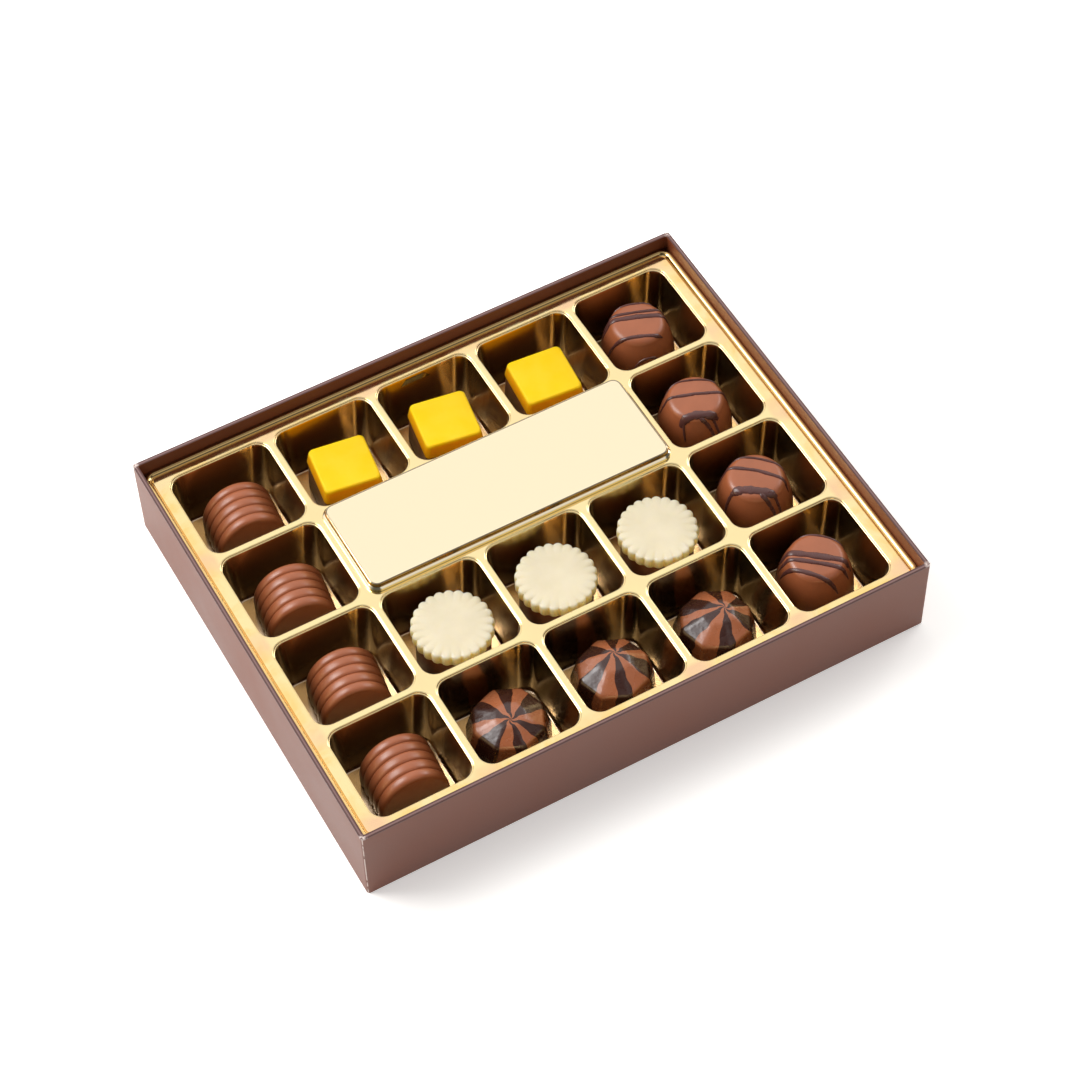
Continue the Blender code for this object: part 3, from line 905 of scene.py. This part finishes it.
class BOX_OT_insert(bpy.types.Operator):
    """Model the gold formed insert with its pits and its raised plaque"""

    bl_idname = "chocolate_box.insert"
    bl_label = "Insert"

    def execute(self, context):
        settings = context.scene.insert
        size = INSERT_HIGH - INSERT_LOW
        size.z = settings.deck_height + settings.flange_rise - INSERT_LOW.z
        insert = block("gold_insert", size, (0.0, 0.0, INSERT_LOW.z + size.z / 2.0))
        begin_edit()
        corner = 4.0 * MM
        round_upright(corner, 8)
        pick_top()
        down = settings.flange_rise / MM
        climb_in((
            (0.20, 0.14), (0.48, 0.04), (0.48, -0.12), (0.44, -0.30), (0.30, -0.50),
            (0.15, -0.36), (0.12, 0.0), (0.14, 1.1 - down), (0.10, 0.10),
        ))
        end_edit()
        plaque = plaque_body(settings)
        cutter = pit_cutter(settings)
        cutters = []
        for place in pit_places(settings):
            copy = copy_of(cutter, "pit")
            copy.location = (*place, 0.0)
            apply_place(copy)
            cutters.append(copy)
        choose(*cutters)
        bpy.ops.object.join()
        pits = bpy.context.object
        notch = notch_cutter(settings)
        for operation, other in (("UNION", plaque), ("DIFFERENCE", pits), ("DIFFERENCE", notch)):
            apply_modifier(insert, "BOOLEAN", operation=operation, object=other, solver="EXACT")
        remove(plaque, cutter, pits, notch)
        outward(insert)
        smooth(insert)
        paint(insert, film_material(settings))
        hand_over(insert, "insert")
        return {"FINISHED"}


# The ribbed logs

LOG_TURNS = (-5.0, -8.0, -8.0, -4.0)


def log_stations(settings):
    """Places along a log, from its front, with how far the outline stands in at each."""
    half = settings.log_length / 2.0
    end_round = 1.5 * MM
    rib = settings.log_length / settings.log_ribs
    stations = []
    for index in range(settings.log_ribs):
        middle = -half + (index + 0.5) * rib
        for share in (-1.0, -0.94, -0.86, -0.72, -0.45, 0.0, 0.45, 0.72, 0.86, 0.94):
            along = middle + share * rib / 2.0
            inset = settings.log_groove * abs(share) ** 4.0
            from_end = min(along + half, half - along)
            if index in (0, settings.log_ribs - 1) and from_end < rib / 2.0:
                reach = max(0.0, 1.0 - from_end / end_round)
                inset = end_round * (1.0 - math.sqrt(1.0 - min(1.0, reach) ** 2))
            stations.append((along, inset))
    stations.append((half, end_round))
    return stations


def log_outline(settings):
    """The front face of a log: low upright flanks under an arch."""
    flank = 4.5 * MM
    straight = 3.7 * MM
    foot = 0.81 * MM
    half = settings.log_width / 2.0
    deselect()
    bpy.ops.mesh.primitive_circle_add(
        vertices=72, radius=half, fill_type="NGON", rotation=(math.pi / 2.0, 0.0, 0.0),
    )
    piece = bpy.context.object
    piece.name = "ribbed_log"
    apply_place(piece)
    piece.scale = (1.0, 1.0, (settings.log_height - flank) / half)
    piece.location = (0.0, -settings.log_length / 2.0, flank)
    apply_place(piece)
    begin_edit("SELECT")
    bpy.ops.mesh.bisect(
        plane_co=(0.0, 0.0, flank + 0.01 * MM), plane_no=(0.0, 0.0, 1.0), clear_inner=True,
    )
    pick("EDGE", lambda a, b: near(a.z, b.z, 1e-7) and (a - b).length > half)
    extrude(0.0, 0.0, -straight)
    extrude(0.0, 0.0, -foot)
    stretch(0.966, 1.0, 1.0)
    bpy.ops.mesh.select_all(action="SELECT")
    bpy.ops.mesh.dissolve_limited(angle_limit=math.radians(0.01))
    return piece


class BOX_OT_logs(bpy.types.Operator):
    """Model the ribbed logs of the left column"""

    bl_idname = "chocolate_box.logs"
    bl_label = "Ribbed logs"

    def execute(self, context):
        settings = context.scene.chocolates
        half = settings.log_width / 2.0
        height = settings.log_height
        log = log_outline(settings)
        bpy.ops.mesh.select_all(action="SELECT")
        stations = log_stations(settings)
        first = stations[0][1]
        stretch((half - first) / half, 1.0, (height - first) / height)
        for (along, inset), (next_along, next_inset) in zip(stations, stations[1:]):
            extrude(0.0, next_along - along, 0.0)
            stretch((half - next_inset) / (half - inset), 1.0,
                    (height - next_inset) / (height - inset), (0.0, next_along, 0.0))
        end_edit()
        outward(log)
        smooth(log, 50.0)
        paint(log, milk_material(settings))
        set_out(log, "log", "ribbed_log", LOG_TURNS)
        return {"FINISHED"}


# The yellow-capped blocks

BLOCK_TURNS = (-8.0, -9.0, -5.0)


class BOX_OT_blocks(bpy.types.Operator):
    """Model the square chocolates with a yellow cap"""

    bl_idname = "chocolate_box.blocks"
    bl_label = "Yellow-capped blocks"

    def execute(self, context):
        settings = context.scene.chocolates
        half = settings.block_top / 2.0
        cap = settings.block_height - settings.block_cap
        top = settings.block_height
        levels = [(half + out * MM, base + up * MM) for out, base, up in (
            (0.9, 0.0, 0.0), (1.2, 0.0, 0.15), (1.3, 0.0, 0.5), (0.75, cap, -0.12),
            (0.80, cap, -0.02), (1.05, cap, 0.04), (1.08, cap, 0.25),
        )]
        levels += rounded_edge(half + 0.40 * MM, top, 0.75 * MM, 5)
        piece = raised("yellow_block", levels)
        pick("EDGE", lambda a, b: abs(a.z - b.z) > 1e-7 or (a.xy - b.xy).length < 0.3 * MM)
        upright_round = 1.5 * MM
        bevel(upright_round, 6)
        end_edit()
        outward(piece)
        smooth(piece, 50.0)
        # Painted shade: the cap fades to the deeper orange between 0.4 mm and 1.6 mm below its
        # top.
        yellow = chocolate_material(
            "yellow chocolate", settings.yellow, (1.0, 0.61, 0.02), 0.45, glow=0.55, shine=0.15,
            side=(settings.painted_shade_amber, top - 1.6 * MM, top - 0.4 * MM),
        )
        paint(piece, milk_material(settings), yellow,
              rule=lambda middle: int(middle.z > cap - 0.03 * MM))
        set_out(piece, "block", "yellow_block", BLOCK_TURNS)
        return {"FINISHED"}


# The scalloped discs

DISC_TURNS = (0.0, 5.0, 9.0)


class BOX_OT_discs(bpy.types.Operator):
    """Model the round chocolates with a scalloped white cap"""

    bl_idname = "chocolate_box.discs"
    bl_label = "Scalloped discs"

    def execute(self, context):
        settings = context.scene.chocolates
        reach = settings.disc_radius
        top = settings.disc_height
        cap = top - settings.disc_cap
        levels = [(reach + out * MM, base + up * MM) for out, base, up in (
            (-1.3, 0.0, 0.0), (-1.1, 0.0, 0.2), (-1.4, cap, -0.3), (-1.35, cap, -0.08),
            (-0.9, cap, 0.0), (-0.1, cap, 0.45), (0.15, cap, 1.2), (0.15, top, -0.9),
            (-0.05, top, -0.3), (-0.55, top, 0.0), (-1.5, top, 0.02), (-3.0, top, 0.0),
        )]
        levels.append((reach * 0.4, top))
        piece = raised("scalloped_disc", levels, settings.disc_scallops * 4)
        share = 2.0 * math.pi / settings.disc_scallops

        def in_valley(spot, low, high, off=0.0):
            angle = math.atan2(spot.y, spot.x) % share
            at_valley = abs(min(angle, share - angle) - off) < share * 0.1
            return at_valley and low < spot.xy.length < high and spot.z > cap - 0.01 * MM

        for off, pull in ((0.0, 0.90), (share / 4.0, 0.12)):
            pick("VERT", lambda spot: in_valley(spot, reach - 0.7 * MM, reach * 1.1, off))
            factor = 1.0 - pull * MM / reach
            stretch(factor, factor, 1.0)
        notch_end = reach - 2.0 * MM
        notch_depth = 0.42 * MM
        pick("VERT", lambda spot: in_valley(spot, notch_end, reach * 1.1)
             and spot.z > top - 0.1 * MM)
        bpy.ops.transform.translate(value=(0.0, 0.0, -notch_depth))
        pick("EDGE", lambda a, b: in_valley(a, notch_end, reach * 1.1)
             and in_valley(b, notch_end, reach * 1.1)
             and (a.xy.normalized() - b.xy.normalized()).length < 0.01)
        bpy.ops.transform.edge_crease(value=1.0)
        end_edit()
        apply_modifier(piece, "SUBSURF", levels=2, render_levels=2)
        outward(piece)
        smooth(piece, 60.0)
        # Painted light: the white cap turns the brighter side colour between 0.3 mm and 1.8 mm
        # below its top.
        white = chocolate_material(
            "white chocolate", settings.white, (0.79, 0.71, 0.53), 0.45, ripple=0.8, glow=0.9,
            side=(settings.painted_side_glow, top - 1.8 * MM, top - 0.3 * MM),
        )
        paint(piece, milk_material(settings), white,
              rule=lambda middle: int(middle.z > cap - 0.05 * MM))
        set_out(piece, "disc", "scalloped_disc", DISC_TURNS)
        return {"FINISHED"}


# The faceted swirl domes: turn, place of the peak in millimetres from the middle, and edges
# between the wedges in degrees round the peak, light and dark in turn

SWIRLS = (
    (-3.0, (-0.3, -1.3), (110, 80, 55, 28, -8, -40, -66, -87, -108, -138, 180, 150)),
    (-3.0, (1.0, 1.7), (112, 78, 50, 25, -2, -28, -62, -92, -118, -148, 180, 148)),
    (-6.0, (1.8, 0.4), (115, 85, 58, 22, -8, -32, -65, -95, -125, -160, 168, 148)),
)


def wedge_tone(tree, settings, turn, peak, edges):
    """The colour of the wedges round the peak, with painted shade darkening the steep facets."""
    place = add_node(tree, "ShaderNodeVectorMath", {0: own_place(tree), 1: (*peak, 0.0)},
                     operation="SUBTRACT").outputs["Vector"]
    parts = parts_of(tree, place)
    angle = maths(tree, "ARCTAN2", parts["Y"], parts["X"])
    squares = (product(tree, parts[axis], parts[axis]) for axis in ("X", "Y"))
    reach = maths(tree, "POWER", maths(tree, "ADD", *squares), 0.5)
    twist = spread(tree, reach, 0.0, 2.6, 0.7, 0.0)
    wander = maths(tree, "MULTIPLY_ADD", noise(tree, place, 0.16, 1.0), 0.36, -0.18)
    angle = maths(tree, "ADD", maths(tree, "ADD", angle, twist), wander)
    share = maths(tree, "FRACT", maths(tree, "MULTIPLY_ADD", angle, 0.5 / math.pi, 2.0))
    marks = sorted(((edge - turn) % 360 / 360.0, index % 2) for index, edge in enumerate(edges))
    stops = [(mark, settings.caramel if kind else settings.dark) for mark, kind in marks]
    stops.insert(0, (0.0, stops[-1][1]))
    # Painted shade: below the shoulder the wedges are mixed halfway towards a darker dark
    # chocolate.
    side = settings.swirl_side / MM
    painted_facet_shade = spread(tree, parts["Z"], side - 1.5, side + 0.5, 0.5, 0.0)
    return mix_colours(tree, painted_facet_shade, ramp(tree, share, stops, "CONSTANT"),
                       scaled(settings.dark, 0.6))


def swirl_material(name, settings, *wedges):
    """Glossy chocolate with light and dark wedges, their edges wandering a little."""
    return moulded_material(name, lambda tree: [wedge_tone(tree, settings, *wedges)] * 2, 0.27,
                            gloss_range=0.08, ripple=1.5, pits=0.8, shine=0.65)


class BOX_OT_swirls(bpy.types.Operator):
    """Model the faceted domes of light and dark wedges"""

    bl_idname = "chocolate_box.swirls"
    bl_label = "Swirl domes"

    def execute(self, context):
        settings = context.scene.chocolates
        foot = settings.swirl_foot
        shoulder = settings.swirl_shoulder
        side = settings.swirl_side
        top = settings.swirl_height
        levels = [
            (foot - 0.5 * MM, 0.0), (foot, 0.6 * MM), (shoulder, side),
            (4.8 * MM, top - 0.45 * MM), (1.0 * MM, top),
        ]
        piece = raised("swirl_dome", levels, 8)
        pick("EDGE", lambda a, b: min(a.z, b.z) > 0.1 * MM
             and min(a.xy.length, b.xy.length) > 2.0 * MM)
        facet_round = 0.85 * MM
        bevel(facet_round, 4)
        end_edit()
        outward(piece)
        smooth(piece, 50.0)
        remember_place(piece)
        for index, (turn, peak, edges) in enumerate(SWIRLS, start=1):
            copy = copy_of(piece, f"swirl_{index}")
            begin_edit()
            half_way = [part * 0.5 * MM for part in peak]
            for depth in (1.2 * MM, 0.2 * MM):
                pick("VERT", lambda spot: spot.z > top - depth)
                bpy.ops.transform.translate(value=(*half_way, 0.0))
            end_edit()
            paint(copy, swirl_material(f"swirl wedges {index}", settings, turn, peak, edges))
            settle(copy, f"swirl_dome_{index}", turn)
        remove(piece)
        return {"FINISHED"}


# The striped domes: start, middle and end of each drizzled thread and its width, in
# millimetres on the dome's surface rolled out flat about its peak

DRIZZLES = (
    (
        ((-6.0, 10.0), (2.0, 7.5), (9.5, 4.5), 0.8),
        ((-15.0, 10.5), (-2.0, 4.6), (14.0, -0.5), 0.9),
        ((-16.0, 8.2), (0.2, 1.6), (14.0, -3.6), 1.6),
        ((-19.0, -1.5), (-6.0, -4.6), (5.0, -9.5), 1.1),
        ((-11.0, -15.6), (-5.0, -14.6), (2.0, -16.8), 0.7),
    ),
    (
        ((-9.0, 10.0), (1.5, 6.8), (11.0, 1.5), 0.6),
        ((-15.0, 7.0), (-1.0, 1.2), (14.0, -4.5), 0.9),
        ((-11.0, -7.0), (-4.0, -6.3), (3.4, -11.2), 2.6),
        ((-8.0, -5.5), (-10.5, -8.5), (-13.0, -12.5), 0.8),
        ((-3.2, -8.0), (-1.2, -12.2), (1.0, -18.5), 1.2),
        ((0.6, -8.0), (2.0, -12.8), (4.2, -18.0), 1.0),
    ),
    (
        ((-7.0, 13.0), (3.5, 5.7), (12.0, -4.0), 0.7),
        ((-13.0, 12.0), (0.0, 2.3), (10.0, -9.5), 1.0),
        ((-18.5, -2.6), (-13.5, -1.5), (-9.0, -1.6), 1.2),
        ((-10.2, -1.7), (-4.4, -3.8), (2.4, -10.2), 2.6),
        ((-2.4, -6.2), (-1.0, -11.5), (1.2, -17.5), 1.2),
        ((1.2, -7.8), (2.4, -12.0), (4.4, -17.0), 1.0),
    ),
    (
        ((-4.0, 13.0), (3.9, 7.0), (11.5, -1.0), 0.7),
        ((-13.0, 11.0), (-1.5, 1.0), (11.0, -9.0), 1.8),
        ((-15.0, 8.0), (-3.0, -0.8), (8.5, -12.0), 1.3),
        ((-16.5, 4.5), (-6.0, -3.7), (1.4, -16.0), 1.3),
    ),
)


def dome_outline(settings):
    """Outline of a dome from the middle of its top down to its foot, as reach and height."""
    top = settings.dome_height
    shoulder = settings.dome_shoulder
    rounding = settings.dome_round
    points = [(0.3 * MM, top), (2.0 * MM, top), (shoulder - rounding - 1.5 * MM, top - 0.12 * MM)]
    for step in range(9):
        angle = math.pi / 2.0 * (1.0 - step / 8.0 * 0.88)
        points.append((
            shoulder - rounding * (1.0 - math.cos(angle)),
            top - 0.25 * MM - rounding * (1.0 - math.sin(angle)),
        ))
    start = points[-1]
    end = (settings.dome_radius - 0.5 * MM, top * 0.4)
    for step in range(1, 5):
        share = step / 4.0
        bulge = 0.35 * MM * math.sin(math.pi * share)
        points.append((
            start[0] + (end[0] - start[0]) * share + bulge,
            start[1] + (end[1] - start[1]) * share,
        ))
    points += [
        (settings.dome_radius, 1.2 * MM),
        (settings.dome_radius - 0.1 * MM, 0.5 * MM),
        (settings.dome_radius - 0.7 * MM, 0.0),
    ]
    return points


def along_outline(outline, distance):
    """The point at a distance along an outline, from its first point."""
    left = distance
    for start, end in zip(outline, outline[1:]):
        step = math.dist(start, end)
        if left <= step:
            share = left / step
            return tuple(a + (b - a) * share for a, b in zip(start, end))
        left -= step
    return outline[-1]


def over_dome(outline, spot, lift):
    """A spot of the rolled-out surface put back on the dome and lifted off it."""
    distance = spot.length
    reach, z = along_outline(outline, distance)
    before = along_outline(outline, max(0.0, distance - 0.5 * MM))
    after = along_outline(outline, distance + 0.5 * MM)
    slope = max(math.dist(before, after), 1e-9)
    reach += lift * (before[1] - after[1]) / slope
    z += lift * (after[0] - before[0]) / slope
    heading = spot / distance if distance > 1e-6 else Vector((0.0, 0.0))
    return Vector((heading.x * reach, heading.y * reach, z))


def drizzle_thread(outline, start, middle, end, width):
    """One drizzled thread, a strip laid over the dome with a rounded back and a sunk foot."""
    along_steps = 70
    across_steps = 10
    deselect()
    bpy.ops.mesh.primitive_grid_add(
        x_subdivisions=along_steps, y_subdivisions=across_steps, size=2.0,
    )
    thread = bpy.context.object
    thread.name = "drizzle"
    start, middle, end = (Vector(spot) * MM for spot in (start, middle, end))
    pull = 2.0 * middle - (start + end) / 2.0
    for vert in thread.data.vertices:
        t = (vert.co.x + 1.0) / 2.0
        across = vert.co.y
        spot = (1.0 - t) ** 2 * start + 2.0 * t * (1.0 - t) * pull + t ** 2 * end
        ahead = (2.0 * (1.0 - t) * (pull - start) + 2.0 * t * (end - pull)).normalized()
        side = Vector((-ahead.y, ahead.x))
        taper = min(1.0, 0.35 + 6.0 * min(t, 1.0 - t))
        swell = 1.0 + 0.10 * math.sin(t * 23.0 + start.x / MM) + 0.06 * math.sin(t * 51.0)
        half = width * 1.2 * MM / 2.0 * taper * swell + 0.12 * MM
        round_back = math.sqrt(max(0.0, 1.0 - across * across))
        lift = (0.55 * round_back - 0.20) * MM * taper
        vert.co = over_dome(outline, spot + side * half * across, lift)
    apply_modifier(thread, "SOLIDIFY", thickness=0.3 * MM, offset=-1.0)
    return thread


class BOX_OT_domes(bpy.types.Operator):
    """Model the striped domes of the right column"""

    bl_idname = "chocolate_box.domes"
    bl_label = "Striped domes"

    def execute(self, context):
        settings = context.scene.chocolates
        outline = dome_outline(settings)
        plain = raised("striped_dome", outline[::-1], 96)
        end_edit()
        outward(plain)
        smooth(plain, 60.0)
        dark = chocolate_material(
            "dark drizzle", settings.drizzle, scaled(settings.drizzle, 1.3), 0.30,
        )
        for index, threads in enumerate(DRIZZLES, start=1):
            dome = copy_of(plain, f"dome_{index}")
            paint(dome, milk_material(settings), dark)
            strips = [drizzle_thread(outline, *thread) for thread in threads]
            for strip in strips:
                outward(strip)
                paint(strip, milk_material(settings), dark, rule=lambda middle: 1)
                smooth(strip, 80.0)
            choose(dome, *strips)
            bpy.ops.object.join()
            remember_place(dome)
            settle(dome, f"striped_dome_{index}", 0.0)
        remove(plain)
        return {"FINISHED"}


# The stage

def studio_sky(settings):
    """A plain studio that is bright behind and above the box and dimmer before it."""
    world = bpy.data.worlds.new("studio")
    world.use_nodes = True
    tree = world.node_tree
    direction = tree.nodes.new("ShaderNodeTexCoord").outputs["Generated"]
    parts = parts_of(tree, direction)
    back = spread(tree, parts["Y"], -0.25, 0.42)
    level = maths(tree, "MULTIPLY_ADD", back, settings.sky_back - settings.sky_front,
                  settings.sky_front)
    towards = add_node(tree, "ShaderNodeVectorMath", {0: direction, 1: (0.28, -0.54, 0.79)},
                       operation="DOT_PRODUCT").outputs["Value"]
    card = product(tree, spread(tree, towards, 0.93, 0.965), settings.card)
    low = spread(tree, parts["Z"], 0.12, 0.42, settings.sky_low, 0.0)
    level = maths(tree, "MAXIMUM", maths(tree, "ADD", level, card), low)
    plug(tree, tree.nodes["Background"], {"Strength": level, "Color": (1.0, 0.99, 0.97)})
    bpy.context.scene.world = world


class BOX_OT_stage(bpy.types.Operator):
    """Set up the floor, the light and the camera"""

    bl_idname = "chocolate_box.stage"
    bl_label = "Stage"

    def execute(self, context):
        settings = context.scene.stage
        deselect()
        bpy.ops.mesh.primitive_plane_add(size=6.0, location=(0.0, 0.0, -0.05 * MM))
        floor = context.object
        floor.name = "floor"
        material, tree, shader = new_material("pale floor")
        plug(tree, shader, {
            "Base Color": settings.floor, "Roughness": 0.8, "Specular IOR Level": 0.1,
            "Emission Color": (1.0, 1.0, 1.0), "Emission Strength": 0.4,
        })
        paint(floor, material)
        studio_sky(settings)
        for name, place, size, power in (
            ("key_light", Vector((-0.57, 0.45, 0.79)), 0.58, settings.key_power),
            ("side_light", Vector((0.914, 0.190, 0.480)), 0.55, settings.side_power),
        ):
            bpy.ops.object.light_add(type="AREA", location=place)
            light = context.object
            light.name = name
            light.data.shape = "SQUARE"
            light.data.size = size
            light.data.energy = power
            light.rotation_euler = place.to_track_quat("Z", "Y").to_euler()
        bpy.ops.object.camera_add(
            location=(-0.26693, -0.51089, 0.80432),
            rotation=[math.radians(angle) for angle in (36.2137, 0.9265, -29.2758)],
        )
        camera = context.object
        camera.name = "camera"
        camera.data.lens = settings.lens
        camera.data.sensor_width = 36.0
        camera.data.clip_start = 0.01
        context.scene.camera = camera
        context.scene.view_settings.view_transform = "Standard"
        return {"FINISHED"}


class BOX_PT_panel(bpy.types.Panel):
    """The pieces of the box and their settings"""

    bl_label = "Box of Chocolates"
    bl_idname = "BOX_PT_panel"
    bl_space_type = "VIEW_3D"
    bl_region_type = "UI"
    bl_category = "Chocolates"

    def draw(self, context):
        layout = self.layout
        for operator in OPERATORS:
            layout.operator(operator.bl_idname)
        for key in SETTINGS:
            group = getattr(context.scene, key)
            box = layout.box()
            for name in group.__annotations__:
                box.prop(group, name)


SETTINGS = {
    "tray": TraySettings,
    "insert": InsertSettings,
    "chocolates": ChocolateSettings,
    "stage": StageSettings,
}
OPERATORS = (
    BOX_OT_tray,
    BOX_OT_insert,
    BOX_OT_logs,
    BOX_OT_blocks,
    BOX_OT_discs,
    BOX_OT_swirls,
    BOX_OT_domes,
    BOX_OT_stage,
)
CLASSES = (*SETTINGS.values(), *OPERATORS, BOX_PT_panel)


def register():
    for kind in CLASSES:
        bpy.utils.register_class(kind)
    for name, group in SETTINGS.items():
        setattr(bpy.types.Scene, name, PointerProperty(type=group))


def unregister():
    for name in SETTINGS:
        delattr(bpy.types.Scene, name)
    for kind in reversed(CLASSES):
        bpy.utils.unregister_class(kind)


def main():
    register()
    bpy.ops.chocolate_box.tray()
    bpy.ops.chocolate_box.insert()
    bpy.ops.chocolate_box.logs()
    bpy.ops.chocolate_box.blocks()
    bpy.ops.chocolate_box.discs()
    bpy.ops.chocolate_box.swirls()
    bpy.ops.chocolate_box.domes()
    bpy.ops.chocolate_box.stage()


if __name__ == "__main__":
    main()
